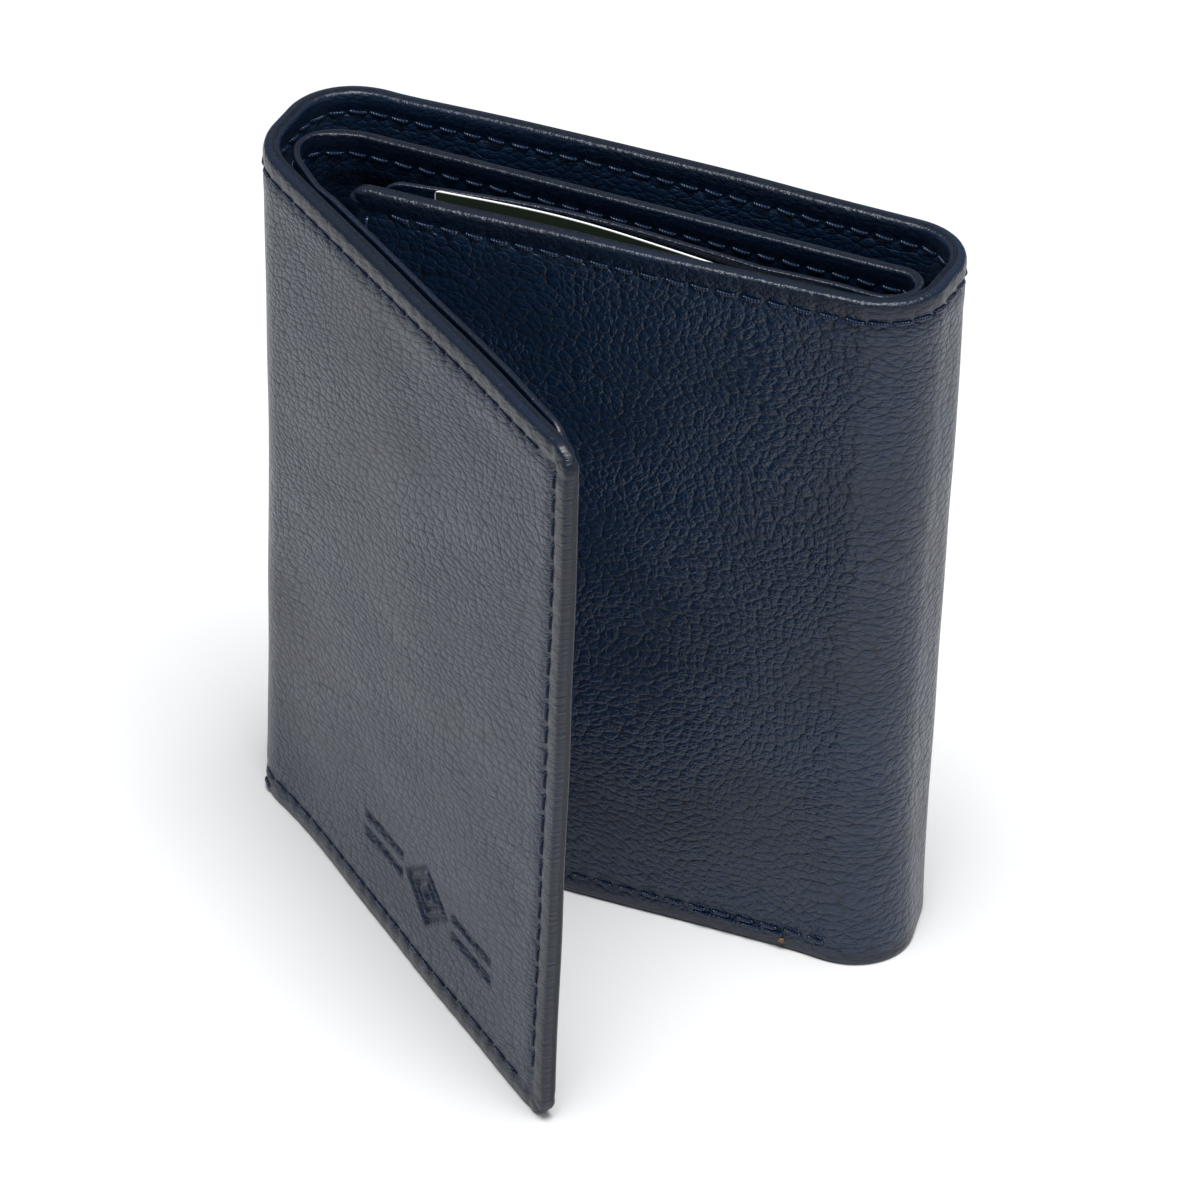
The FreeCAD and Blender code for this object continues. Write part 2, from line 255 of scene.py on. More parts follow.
class Sheet:
    """Closed leather sheet over a grid of route distance s and height z; a corner radius rounds its edges."""

    def __init__(self, columns, rows, place, front, back, corner=None, extra=None, hole=None, stretch=even):
        self.hole = hole
        s, z = np.meshgrid(columns, rows, indexing="ij")
        u, w = np.full(s.shape, FAR), np.full(s.shape, FAR)
        s_new, z_new = s, z
        if corner:
            u = np.minimum(s - columns[0], columns[-1] - s)
            w = np.minimum(z - rows[0], rows[-1] - z)
            s_new, z_new = self.round_corners(s, z, u, w, columns, rows, corner)
        delta = np.minimum(u, w)
        self.shape = s.shape
        top = place(s_new, z_new, front(s_new, z_new, u, w, delta))
        bottom = place(s_new, z_new, back(s_new, z_new, u, w, delta))
        edge = delta <= 1e-9
        count = s.size
        index = np.arange(count).reshape(s.shape)
        under = np.where(edge, index, index + count)
        self.front, self.back = index, under
        self.points = np.concatenate([top.reshape(-1, 3), bottom.reshape(-1, 3)])
        skin = np.stack([*stretch(s_new, z_new), np.zeros(s.shape)], -1).reshape(-1, 3)
        inside = skin + np.array([0.37, 0.21, 0.0])
        self.skin = np.concatenate([skin, inside])
        near = np.clip(1 - (delta - 1.6 * MM) / (1.6 * MM), 0, 1).reshape(-1)
        self.rim = np.concatenate([near, near])
        self.columns, self.rows = columns, rows
        self.extra = None if extra is None else np.tile(extra(s_new, z_new).reshape(-1), 2)
        self.normals = self.point_normals()

    @staticmethod
    def round_corners(s, z, u, w, columns, rows, corner):
        """Grid points near a corner, drawn in onto a quarter circle."""
        px, pw = np.clip(1 - u / corner, 0, 1), np.clip(1 - w / corner, 0, 1)
        both = (px > 0) & (pw > 0)
        reach = np.where(both, np.maximum(px, pw) / np.maximum(np.hypot(px, pw), 1e-9), 1)
        move_u = np.where(both, corner * (px - px * reach), 0)
        move_w = np.where(both, corner * (pw - pw * reach), 0)
        to_s = np.where(s - columns[0] < columns[-1] - s, 1, -1)
        to_z = np.where(z - rows[0] < rows[-1] - z, 1, -1)
        return s + move_u * to_s, z + move_w * to_z

    def quads(self, first, last):
        """Faces of the front and back between two columns."""
        f, b = self.front[first : last + 1], self.back[first : last + 1]
        front = np.stack([f[:-1, :-1], f[:-1, 1:], f[1:, 1:], f[1:, :-1]], -1)
        back = np.stack([b[:-1, :-1], b[1:, :-1], b[1:, 1:], b[:-1, 1:]], -1)
        solid = np.ones(front.shape[:2], bool)
        if self.hole:
            s_low, s_high, z_low, z_high = self.hole
            s, z = (self.columns[:-1] + self.columns[1:]) / 2, (self.rows[:-1] + self.rows[1:]) / 2
            across = (s > s_low) & (s < s_high)
            solid = ~(across[first:last, None] & ((z > z_low) & (z < z_high))[None, :])
        return np.concatenate([front[solid], back[solid]])

    def open_ends(self, first, last):
        """Faces that close a sheet where it has been cut through, or along an edge that isn't rounded."""
        faces = []
        for column, turned in ((first, False), (last, True)):
            f, b = self.front[column], self.back[column]
            quad = np.stack([f[:-1], b[:-1], b[1:], f[1:]], -1)
            faces.append(quad[:, ::-1] if not turned else quad)
        for row, turned in ((0, True), (-1, False)):
            f, b = self.front[first : last + 1, row], self.back[first : last + 1, row]
            quad = np.stack([f[:-1], b[:-1], b[1:], f[1:]], -1)
            faces.append(quad[:, ::-1] if not turned else quad)
        faces = np.concatenate(faces)
        distinct = [len(set(face)) == 4 for face in faces.tolist()]
        return faces[distinct]

    def point_normals(self):
        faces = self.quads(0, self.shape[0] - 1)
        p = self.points[faces]
        normal = np.cross(p[:, 2] - p[:, 0], p[:, 3] - p[:, 1])
        total = np.zeros_like(self.points)
        for corner in range(4):
            np.add.at(total, faces[:, corner], normal)
        return total / np.maximum(np.linalg.norm(total, axis=1, keepdims=True), 1e-12)

    def column_at(self, s):
        return int(np.argmin(np.abs(self.columns - s)))

    def piece(self, name, low=None, high=None):
        """Mesh object of the stretch between two distances, closed where it is cut."""
        first = 0 if low is None else self.column_at(low)
        last = self.shape[0] - 1 if high is None else self.column_at(high)
        skin_faces, end_faces = self.quads(first, last), self.open_ends(first, last)
        faces = np.concatenate([skin_faces, end_faces])
        used, faces = np.unique(faces, return_inverse=True)
        faces = faces.reshape(-1, 4)
        smooth = np.arange(len(faces)) < len(skin_faces)
        mesh = new_mesh(name, self.points[used], faces.tolist(), smooth)
        add_vector(mesh, "skin", self.skin[used])
        add_value(mesh, "rim", self.rim[used])
        if self.extra is not None:
            add_value(mesh, "extra", self.extra[used])
        loops = self.normals[used][faces].copy()
        loops[len(skin_faces) :] = 0
        mesh.normals_split_custom_set(loops.reshape(-1, 3).tolist())
        return new_object(name, mesh)


def new_mesh(name, points, faces, smooth=True):
    mesh = bpy.data.meshes.new(name)
    mesh.from_pydata([tuple(p) for p in np.asarray(points, float).tolist()], [], faces)
    flags = np.full(len(mesh.polygons), True) if smooth is True else np.asarray(smooth)
    mesh.polygons.foreach_set("use_smooth", flags.astype(bool))
    mesh.update()
    return mesh


def new_object(name, mesh):
    obj = bpy.data.objects.new(name, mesh)
    bpy.context.scene.collection.objects.link(obj)
    return obj


def add_vector(mesh, name, values):
    attribute = mesh.attributes.new(name, "FLOAT_VECTOR", "POINT")
    attribute.data.foreach_set("vector", np.asarray(values, np.float32).ravel())


def add_value(mesh, name, values):
    attribute = mesh.attributes.new(name, "FLOAT", "POINT")
    attribute.data.foreach_set("value", np.asarray(values, np.float32).ravel())


# ---- where each stretch of leather bends ----

CUT_LEFT_FRONT = S_FLAP + 4.3 * MM
CUT_LEFT_SPINE = S_LEFT_FRONT + 3.0 * MM
CUT_RIGHT_SPINE = S_RIGHT_BACK + RIGHT_STRAIGHT / 2

# name, stretch of the shell, the two bodies, and where the bend starts and ends
STRETCHES = (
    ("flap", None, CUT_LEFT_FRONT, "left_fold_front", "flap", CUT_LEFT_FRONT, S_FLAP - 5 * MM),
    ("left_fold", CUT_LEFT_FRONT, CUT_LEFT_SPINE, "left_fold_back", "left_fold_front",
     CUT_LEFT_SPINE, CUT_LEFT_FRONT),
    ("centre_left", CUT_LEFT_SPINE, S_MIDDLE, "left_fold_back", "centre_panel",
     CUT_LEFT_SPINE, S_LEFT_BACK),
    ("centre_right", S_MIDDLE, CUT_RIGHT_SPINE, "centre_panel", "right_fold", S_CENTRE, S_RIGHT_BACK),
    ("inner_panel", CUT_RIGHT_SPINE, None, "right_fold", "inner_panel",
     CUT_RIGHT_SPINE, S_RIGHT_FRONT),
)
SHELL_CUTS = (CUT_LEFT_FRONT, CUT_LEFT_SPINE, S_MIDDLE, CUT_RIGHT_SPINE)


def shell_point(s):
    """Point halfway up the outer face, where a bend starts or ends."""
    return tuple(shell_place(np.array([s]), np.array([HEIGHT / 2]), np.array([0.0]))[0])


def dress(obj, material, replaced=()):
    """Gives a piece its material and hides the parts of the model that it stands in for."""
    obj.data.materials.append(material)
    if replaced:
        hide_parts(*replaced)


# ---- outer leather ----


def seam_strength(s, at_bottom):
    """1 where a row of stitches pulls the leather down; the bottoms of the folds aren't sewn."""
    left = bump_shape(s, (S_FLAP + S_LEFT_BACK) / 2, 11 * MM)
    right = bump_shape(s, (S_CENTRE + S_RIGHT_FRONT) / 2 + 2 * MM, 13 * MM)
    return np.where(at_bottom, np.clip(1 - 1.3 * np.maximum(left, right), 0, 1), 1.0)


def stitch_wave(s, z, u, w):
    """Rises and falls once a stitch along whichever edge is nearer."""
    along = np.where(w < u, s, z)
    return 0.5 - 0.5 * np.cos(2 * math.pi * along / PITCH)


def hem_relief(s, z, u, w, delta):
    """Plump rim outside the seam, and the groove that the stitches pull in the leather."""
    strength = seam_strength(s, (z < HEIGHT / 2) & (w < u))
    wave = stitch_wave(s, z, u, w)
    groove = 0.36 * MM * bump_shape(delta, SEAM, 0.62 * MM) * (1 - 0.55 * wave)
    plump = 0.12 * MM * bump_shape(delta, 1.7 * MM, 0.9 * MM) * (0.6 + 0.8 * wave)
    panel = 0.10 * MM * bump_shape(delta, 5.2 * MM, 1.5 * MM)
    return (groove - plump - panel) * strength


MARK_S = 34 * MM
MARK_Z = 14.5 * MM
MARK_REACH = 19.5 * MM
MARK_RISE = 5.6 * MM


def pressed_mark(s, z):
    """Plain pressed ornament: three nested diamonds between two bars, 0 to 1."""
    x, y = s - MARK_S, z - MARK_Z
    ring = np.abs(x) / 1.3 + np.abs(y)
    line = 0.5 * MM
    shapes = []
    for size in (4.4 * MM, 2.5 * MM, 0.5 * MM):
        shapes.append(np.abs(ring - size) - line)
    for side in (-1, 1):
        across = np.abs(x - side * 13.0 * MM) - 5.4 * MM
        for level in (-1.5 * MM, 1.5 * MM):
            shapes.append(np.maximum(across, np.abs(y - level) - line))
    nearest = np.minimum.reduce(shapes)
    return np.clip(0.5 - nearest / (0.7 * MM), 0, 1)


def mark_trough(s, z):
    """Shallow hollow pressed round the ornament."""
    x, y = (s - MARK_S) / (21 * MM), (z - MARK_Z) / (6.2 * MM)
    return np.exp(-((x**2 + y**2) ** 2))


def corner_pleats(s, z, u, w):
    """Small tucks where the leather is turned round a corner."""
    reach = np.hypot(u - CORNER, w - CORNER)
    near = np.clip(1 - np.hypot(u, w) / (6.5 * MM), 0, 1)
    angle = np.arctan2(w - CORNER, u - CORNER)
    ridge = np.abs(np.sin(angle * 3.5 + 0.4)) ** 3
    return 0.30 * MM * ridge * near * np.clip(reach / (2 * MM), 0, 1)


def shell_front(s, z, u, w, delta):
    """Depth of the outer face."""
    depth = sunk(delta, HEM / 2) + hem_relief(s, z, u, w, delta) + corner_pleats(s, z, u, w)
    return depth + 0.62 * MM * pressed_mark(s, z) + 0.30 * MM * mark_trough(s, z)


def hem_step(delta):
    """1 inside the turned hem, 0 on the lining beyond it."""
    return np.clip((HEM_WIDTH - delta) / (0.7 * MM), 0, 1)


def shell_back(s, z, u, w, delta):
    """Depth of the inner face: the turned hem, and past it the leather under the lining."""
    step = hem_step(delta)
    flat = HEM * step + LINING_DEPTH * (1 - step)
    relief = hem_relief(s, z, u, w, delta) + corner_pleats(s, z, u, w)
    return flat - sunk(delta, HEM / 2) - relief * step * 0.8


def fold_share(s, z):
    """1 in the middle of a fold, for creases in its leather."""
    left = bump_shape(s, (S_FLAP + S_LEFT_BACK) / 2, 13 * MM)
    right = bump_shape(s, (S_CENTRE + S_RIGHT_FRONT) / 2, 15 * MM)
    return np.clip(left + right, 0, 1)


def shell_stretch(s, z):
    """Grain coordinates of the outer leather: long, leaning cells on the flap, rounder ones elsewhere."""
    marks = [0.0, S_FLAP - 4 * MM, S_LEFT_BACK, S_CENTRE, S_RIGHT_FRONT, S_END]
    density = [0.44, 0.50, 0.72, 0.60, 0.80]
    along = np.concatenate([[0.0], np.cumsum(np.diff(marks) * density)])
    return np.interp(s, marks, along), z + 0.24 * np.minimum(s, S_FLAP)


def make_shell(leather):
    """The outer leather, one piece for each stretch in STRETCHES."""
    fine = [(MARK_S - MARK_REACH, MARK_S + MARK_REACH, 0.32 * MM)]
    columns = spaced(0.0, S_END, 0.8 * MM, HEM / 2, SHELL_CUTS, fine)
    fine = [(MARK_Z - MARK_RISE, MARK_Z + MARK_RISE, 0.32 * MM)]
    rows = spaced(0.0, HEIGHT, 0.85 * MM, HEM / 2, fine=fine)
    faces = (shell_front, shell_back)
    shell = Sheet(columns, rows, shell_place, *faces, CORNER, fold_share, stretch=shell_stretch)
    replaced = {
        "flap": ("flap_cover", "flap_stiffener_board"),
        "left_fold": ("left_fold_front_cover",),
        "centre_left": ("left_fold_back_cover", "centre_cover", "centre_stiffener_board"),
        "centre_right": ("right_fold_cover",),
        "inner_panel": ("inner_panel_cover", "inner_panel_stiffener_board"),
    }
    for name, low, high, first, second, start, end in STRETCHES:
        obj = shell.piece("outer_leather_" + name, low, high)
        dress(obj, leather, replaced[name])
        shell_point(start)
        shell_point(end)
        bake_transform(obj)


# ---- linings ----


def make_linings(cloth):
    """Thin cloth between the turned hems, one piece for each stretch of the outer leather."""
    tuck, thick = 0.7 * MM, 0.25 * MM
    low, high = HEM_WIDTH - tuck, S_END - HEM_WIDTH + tuck
    rows = np.arange(HEM_WIDTH - tuck, HEIGHT - HEM_WIDTH + tuck, 1.6 * MM)
    columns = spaced(low, high, 1.6 * MM, stops=SHELL_CUTS)

    def front(s, z, u, w, delta):
        return np.full(s.shape, LINING_DEPTH - 0.04 * MM)

    def back(s, z, u, w, delta):
        return np.full(s.shape, LINING_DEPTH + thick)

    lining = Sheet(columns, rows, shell_place, front, back)
    replaced = {
        "flap": ("flap_lining",),
        "centre_left": ("centre_lining",),
        "inner_panel": ("inner_panel_lining",),
    }
    for name, begin, end, first, second, start, stop in STRETCHES:
        obj = lining.piece("lining_" + name, begin, end)
        dress(obj, cloth, replaced.get(name, ()))
        shell_point(start)
        shell_point(stop)
        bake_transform(obj)


# ---- inner leather: bill divider, its gussets and the backings of the pockets ----


class Ribbon:
    """Upright band of leather, with one plan line at its foot and another at its top."""

    STEP = 0.25 * MM

    def __init__(self, foot, top, low, high, smooth=1.1 * MM):
        foot, top = np.array(foot, float), np.array(top, float)
        knots = np.concatenate([[0], np.cumsum(np.linalg.norm(np.diff(top, axis=0), axis=1))])
        self.knots, self.length, self.low, self.high = knots, knots[-1], low, high
        margin = 8 * MM
        self.t = np.arange(-margin, self.length + margin, self.STEP)
        self.lines = [self.smoothed(knots, line, margin, smooth) for line in (foot, top)]

    def smoothed(self, knots, line, margin, smooth):
        before = line[0] + (line[0] - line[1]) / (knots[1] - knots[0]) * margin
        after = line[-1] + (line[-1] - line[-2]) / (knots[-1] - knots[-2]) * margin
        knots = np.concatenate([[-margin], knots, [knots[-1] + margin]])
        line = np.concatenate([[before], line, [after]])
        reach = int(3 * smooth / self.STEP)
        kernel = np.exp(-((np.arange(-reach, reach + 1) * self.STEP / smooth) ** 2) / 2)
        kernel /= kernel.sum()
        axes = []
        for axis in range(2):
            values = np.interp(self.t, knots, line[:, axis])
            padded = np.pad(values, reach, mode="reflect", reflect_type="odd")
            axes.append(np.convolve(padded, kernel, "valid"))
        return np.stack(axes, -1)

    def place(self, s, z, depth):
        up = ((z - self.low) / (self.high - self.low))[..., None]
        point, slope = 0, 0
        for share, line in ((1 - up, self.lines[0]), (up, self.lines[1])):
            tangent = np.gradient(line, self.STEP, axis=0)
            xy = [np.interp(s, self.t, line[:, axis]) for axis in range(2)]
            way = [np.interp(s, self.t, tangent[:, axis]) for axis in range(2)]
            point = point + share * np.stack(xy, -1)
            slope = slope + share * np.stack(way, -1)
        slope = slope / np.linalg.norm(slope, axis=-1, keepdims=True)
        right = np.stack([slope[..., 1], -slope[..., 0]], -1)
        flat = point + right * depth[..., None]
        return np.concatenate([flat, z[..., None]], -1)

    def point(self, s, depth=0.0):
        middle = (self.low + self.high) / 2
        return tuple(self.place(np.array([s]), np.array([middle]), np.array([depth]))[0])


def along_shell(distances, z, depth):
    """Plan points at those distances along the outer leather, at height z and depth below its face."""
    s = np.array(distances, float)
    points = shell_place(s, np.full(s.shape, z), np.full(s.shape, float(depth)))
    return [tuple(p[:2]) for p in points]


BAND_LOW = 1.3 * MM
BAND_HIGH = HEIGHT - 0.5 * MM
BAND_THICK = 0.9 * MM
BAND_LIP = 1.5 * MM
FLAP_DEPTH = HEM_DEPTH + 0.05 * MM
INNER_DEPTH = HEM_DEPTH + 1.05 * MM
FLAP_EDGE = 5.4 * MM  # how far the flap's inner leather stops short of the flap's free edge
INNER_EDGE = 3.2 * MM  # the same on the inner panel
INNER_START = 4 * MM  # where the inner panel's inner leather lies flat, past the right fold
PANEL_POINTS = 9  # points of the band's plan line along the flap, and along the inner panel

# plan points of the gussets and the divider, from left to right: at the foot, and at the top
LEFT_GUSSET = (
    ((-43.4, -20.4), (-42.5, -20.0)),
    ((-45.6, -15.0), (-44.3, -16.4)),
    ((-45.0, -9.0), (-43.6, -12.9)),
    ((-41.2, -4.4), (-40.9, -10.6)),
)
DIVIDER_ENDS = (((-36.8, -2.4), (-37.2, -9.6)), ((37.2, -2.4), (38.2, -9.7)))
RIGHT_GUSSET = (
    ((42.6, -5.6), (42.0, -9.5)),
    ((43.9, -11.5), (44.5, -12.2)),
    ((42.9, -16.4), (43.9, -16.0)),
    ((39.6, -18.2), (40.6, -18.3)),
)


def scaled(pairs, side):
    """Plan points at the foot (side 0) or the top (side 1), in metres."""
    return [tuple(v * MM for v in pair[side]) for pair in pairs]


def inner_band():
    """The inner leather's route: behind the flap, round the folds and behind the inner panel."""
    lines = []
    flap = np.linspace(FLAP_EDGE, S_FLAP - 7 * MM, PANEL_POINTS)
    inner = np.linspace(S_RIGHT_FRONT + INNER_START, S_END - INNER_EDGE, PANEL_POINTS)
    for side, z in ((0, 0.0), (1, HEIGHT)):
        line = along_shell(flap, z, FLAP_DEPTH)
        line += scaled(LEFT_GUSSET + DIVIDER_ENDS + RIGHT_GUSSET, side)
        line += along_shell(inner, HEIGHT, INNER_DEPTH)
        lines.append(line)
    return Ribbon(lines[0], lines[1], 0.0, HEIGHT)


band = inner_band()
knots = band.knots
left_knot = PANEL_POINTS
divider_knot = left_knot + len(LEFT_GUSSET)
right_knot = divider_knot + len(DIVIDER_ENDS)
T_FLAP = knots[left_knot - 1]
T_FOLD = (knots[left_knot] + knots[left_knot + 1]) / 2
T_LEFT = knots[left_knot + 2]
T_DIVIDER = knots[divider_knot]
T_RIGHT = knots[divider_knot + 1]
T_SPINE = (knots[right_knot + 1] + knots[right_knot + 2]) / 2
T_INNER = knots[right_knot + len(RIGHT_GUSSET)]
T_MIDDLE = (T_DIVIDER + T_RIGHT) / 2

# name, stretch of the band, the two bodies, and where the bend starts and ends
BANDS = (
    ("flap", None, T_FOLD, "left_fold_front", "flap", T_FOLD, T_FLAP - 4 * MM),
    ("left_gusset", T_FOLD, T_LEFT, "left_fold_back", "left_fold_front", T_LEFT, T_FOLD),
    ("divider", T_LEFT, T_MIDDLE, "left_fold_back", "centre_panel", T_LEFT, T_DIVIDER),
    ("right_gusset", T_MIDDLE, T_SPINE, "centre_panel", "right_fold", T_RIGHT, T_SPINE),
    ("inner_panel", T_SPINE, None, "right_fold", "inner_panel", T_SPINE, T_INNER + 3 * MM),
)
BAND_CUTS = (T_FOLD, T_LEFT, T_MIDDLE, T_SPINE)


def band_bow(s, z):
    """How far a part of the band leans inwards: the flap's lip, and the back of the paper pocket."""
    lip = 0.35 * MM * np.clip((z - 93 * MM) / (8 * MM), 0, 1) * np.clip((T_FLAP - s) / (4 * MM), 0, 1)
    lip *= np.clip(s / (14 * MM), 0, 1)
    return lip + paper_bow(s - T_INNER, z)


def paper_bow(along, z):
    """How far the loose paper stands away from the inner panel, towards the mouth of its pocket."""
    share = np.clip((along - 11 * MM) / (54 * MM), 0, 1)
    up = np.clip(z / HEIGHT, 0, 1)
    return 2.7 * MM * up**2.2 * np.sin(math.pi * share)


def band_lip(s, z):
    """Thickness of the band, thicker where its top is turned in over the divider."""
    lip = np.clip((z - (BAND_HIGH - 7.5 * MM)) / (1.2 * MM), 0, 1)
    between = np.clip((s - T_LEFT) / (3 * MM), 0, 1) * np.clip((T_SPINE - s) / (3 * MM), 0, 1)
    return BAND_THICK + (BAND_LIP - BAND_THICK) * lip * between


def band_front(s, z, u, w, delta):
    """Depth of the face towards the outer leather."""
    return band_bow(s, z) + sunk(delta, BAND_THICK / 2)


def band_relief(s, z):
    """Groove and puckers along the seam under the band's top edge."""
    below = BAND_HIGH - z
    wave = 0.5 - 0.5 * np.cos(2 * math.pi * s / PITCH)
    groove = 0.18 * MM * bump_shape(below, SEAM, 0.55 * MM) * (1 - 0.55 * wave)
    return groove - 0.12 * MM * bump_shape(below, 1.6 * MM, 0.9 * MM)


def band_back(s, z, u, w, delta):
    """Depth of the face towards the card pockets."""
    thick = band_lip(s, z)
    crease = 0.45 * MM * bump_shape(s, T_DIVIDER, 0.6 * MM) * np.clip(delta / (2 * MM), 0.4, 1)
    round_edge = sunk(delta, np.minimum(thick / 2, 0.9 * MM))
    return band_bow(s, z) + thick - round_edge - band_relief(s, z) - crease


def crumpled(s, z):
    """1 on the gussets, whose leather is creased."""
    left = bump_shape(s, (T_FOLD + T_DIVIDER) / 2, 7 * MM)
    return np.clip(left + bump_shape(s, (T_RIGHT + T_INNER) / 2, 8 * MM), 0, 1)


def make_band(leather, thread):
    """The inner leather and the row of stitches under its top edge."""
    columns = spaced(0.0, band.length, 0.9 * MM, BAND_THICK / 2, BAND_CUTS)
    rows = spaced(BAND_LOW, BAND_HIGH, 1.2 * MM, BAND_THICK / 2)
    sheet = Sheet(columns, rows, band.place, band_front, band_back, CORNER, crumpled)
    replaced = {
        "flap": ("flap_pocket_backing",),
        "left_gusset": ("left_fold_gusset",),
        "divider": ("bill_divider",),
        "right_gusset": ("right_fold_gusset",),
        "inner_panel": ("inner_pocket_backing",),
    }
    rows_of = {}
    for index, (name, low, high, first, second, start, end) in enumerate(BANDS):
        obj = sheet.piece("inner_leather_" + name, low, high)
        dress(obj, leather, replaced[name])
        band.point(start)
        band.point(end)
        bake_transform(obj)
        rows_of[name] = Stitches(40 + index)
    first_stitch = int(T_FLAP / PITCH) - 12
    for k in range(first_stitch, int((T_INNER + 3 * MM) / PITCH)):
        s, z = (k + 0.5) * PITCH, BAND_HIGH - SEAM
        name = next(b[0] for b in BANDS if b[2] is None or s < b[2])
        for spot in stitch_places(band.place, band_front, band_back, s, z, FAR, BAND_HIGH - z, True):
            rows_of[name].add(*spot)
    for name, _, _, first, second, start, end in BANDS:
        if not rows_of[name].points:
            continue
        obj = rows_of[name].piece("inner_stitches_" + name, thread)
        if name == "divider":
            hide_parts("divider_thread")
        band.point(start)
        band.point(end)
        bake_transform(obj)


# ---- card pockets ----

LEAF = 0.5 * MM
LEAF_LOW = 2.6 * MM
LEAF_HIGH = 92.4 * MM
LEAF_STEP = 9.0 * MM
LEAF_SEAM = 2.2 * MM


def make_leaves(prefix, body, spans, mouth, leather, thread):
    """Stack of leather leaves on the band; each has its mouth one step further along."""
    sewn = Stitches(len(prefix))
    for i, (low, high) in enumerate(spans):
        begin = BAND_THICK + i * LEAF

        def front(s, z, u, w, delta, begin=begin):
            return band_bow(s, z) + begin + 0.02 * MM + sunk(delta, LEAF / 2)

        def back(s, z, u, w, delta, begin=begin, low=low, high=high):
            away = s - low if mouth == "low" else high - s
            press = 0.10 * MM * bump_shape(away, 2.0 * MM, 0.28 * MM)
            press += 0.10 * MM * bump_shape(away, 3.0 * MM, 0.28 * MM)
            thick = begin + LEAF - sunk(delta, LEAF / 2) - press
            return band_bow(s, z) + thick

        columns = spaced(low, high, 1.1 * MM, LEAF / 2)
        rows = spaced(LEAF_LOW, LEAF_HIGH, 1.4 * MM, LEAF / 2)
        sheet = Sheet(columns, rows, band.place, front, back, 1.5 * MM, uncreased)
        name = "%s_card_leaf_%d" % (prefix, i + 1)
        obj = sheet.piece(name + "_leather")
        dress(obj, leather, [name])
        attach(obj, body)
        last = i == len(spans) - 1
        if mouth == "low":
            begin_sew, end_sew = low + 1 * MM, high if last else spans[i + 1][0]
        else:
            begin_sew, end_sew = low if last else spans[i + 1][1], high - 1 * MM
        for k in range(int((end_sew - begin_sew) / PITCH)):
            s = begin_sew + (k + 0.5) * PITCH
            for z in (LEAF_LOW + LEAF_SEAM, LEAF_HIGH - LEAF_SEAM):
                spots = list(stitch_places(band.place, front, back, s, z, FAR, LEAF_SEAM, True))
                sewn.add(*spots[1], length=2.6 * MM, radius=0.22 * MM)
    obj = sewn.piece(prefix + "_pocket_stitches", thread)
    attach(obj, body)


# ---- see-through pocket and paper insert ----


def make_window(leather, clear):
    """Clear sheet under a leather frame, on the inside of the inner panel."""
    end = band.length + INNER_EDGE

    def sheet_front(s, z, u, w, delta):
        return band_bow(s, z) + BAND_THICK + 0.02 * MM

    def sheet_back(s, z, u, w, delta):
        return band_bow(s, z) + BAND_THICK + 0.22 * MM

    low, high = end - 64.8 * MM, end - 6.8 * MM
    columns = spaced(low, high, 2 * MM)
    rows = spaced(6 * MM, 92 * MM, 2 * MM)
    obj = Sheet(columns, rows, band.place, sheet_front, sheet_back).piece("id_window_clear_sheet")
    dress(obj, clear, ["id_window"])
    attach(obj, "inner_panel")

    wide = 6 * MM
    low, high, foot, top = end - 66.8 * MM, end - 4.8 * MM, 4 * MM, 94 * MM
    hole = (low + wide, high - wide, foot + wide, top - wide)

    def edge(s, z, delta):
        inside = np.minimum.reduce([s - hole[0], hole[1] - s, z - hole[2], hole[3] - z])
        return sunk(np.minimum(delta, np.abs(inside)), LEAF / 2)

    def frame_front(s, z, u, w, delta):
        return sheet_back(s, z, u, w, delta) + 0.02 * MM + edge(s, z, delta)

    def frame_back(s, z, u, w, delta):
        groove = 0.12 * MM * bump_shape(delta, 2.2 * MM, 0.4 * MM)
        return sheet_back(s, z, u, w, delta) + LEAF - edge(s, z, delta) - groove

    near = edge_steps(LEAF / 2, 1.2 * MM)
    stops = [hole[0] - d for d in near] + [hole[1] + d for d in near]
    columns = graded(low, high, 1.1 * MM, LEAF / 2, stops)
    stops = [hole[2] - d for d in near] + [hole[3] + d for d in near]
    rows = graded(foot, top, 1.1 * MM, LEAF / 2, stops)
    faces = (frame_front, frame_back)
    frame_sheet = Sheet(columns, rows, band.place, *faces, 2 * MM, uncreased, hole)
    obj = frame_sheet.piece("id_window_leather_frame")
    dress(obj, leather, ["id_window_frame"])
    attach(obj, "inner_panel")


def make_paper(paper):
    """Loose paper slip in the inner panel's pocket, bowed towards the pocket's mouth."""
    thick = 0.26 * MM
    low, high = S_RIGHT_FRONT + 4.8 * MM, S_END - 11.2 * MM
    bottom, top = 5 * MM, HEIGHT - 0.2 * MM
    nearest = HEM + 0.65 * MM
    follow = 0.97  # the slip bows a little less than the leather behind it

    def place(s, z, depth):
        """Upright, so that the slip slides straight up, and a little crooked in its pocket."""
        points = shell_place(s, np.full(s.shape, HEIGHT), depth)
        points[..., 2] = z - 1.8 * MM * (high - s) / (high - low)
        return points

    def front(s, z, u, w, delta):
        bow = paper_bow(s - S_RIGHT_FRONT - INNER_START, z) * follow
        return nearest + bow + sunk(delta, thick / 2)

    def back(s, z, u, w, delta):
        bow = paper_bow(s - S_RIGHT_FRONT - INNER_START, z) * follow
        return nearest + thick + bow - sunk(delta, thick / 2)

    def edge(s, z):
        return np.minimum.reduce([s - low, high - s, top - z, z - bottom]) / (0.2 * MM)

    columns = spaced(low, high, 1.2 * MM, thick / 2)
    rows = spaced(bottom, top, 1.6 * MM, thick / 2)
    obj = Sheet(columns, rows, place, front, back, 0.6 * MM, edge).piece("paper_insert_slip")
    dress(obj, paper, ["paper_insert"])
    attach(obj, "paper_insert")


# ---- materials ----


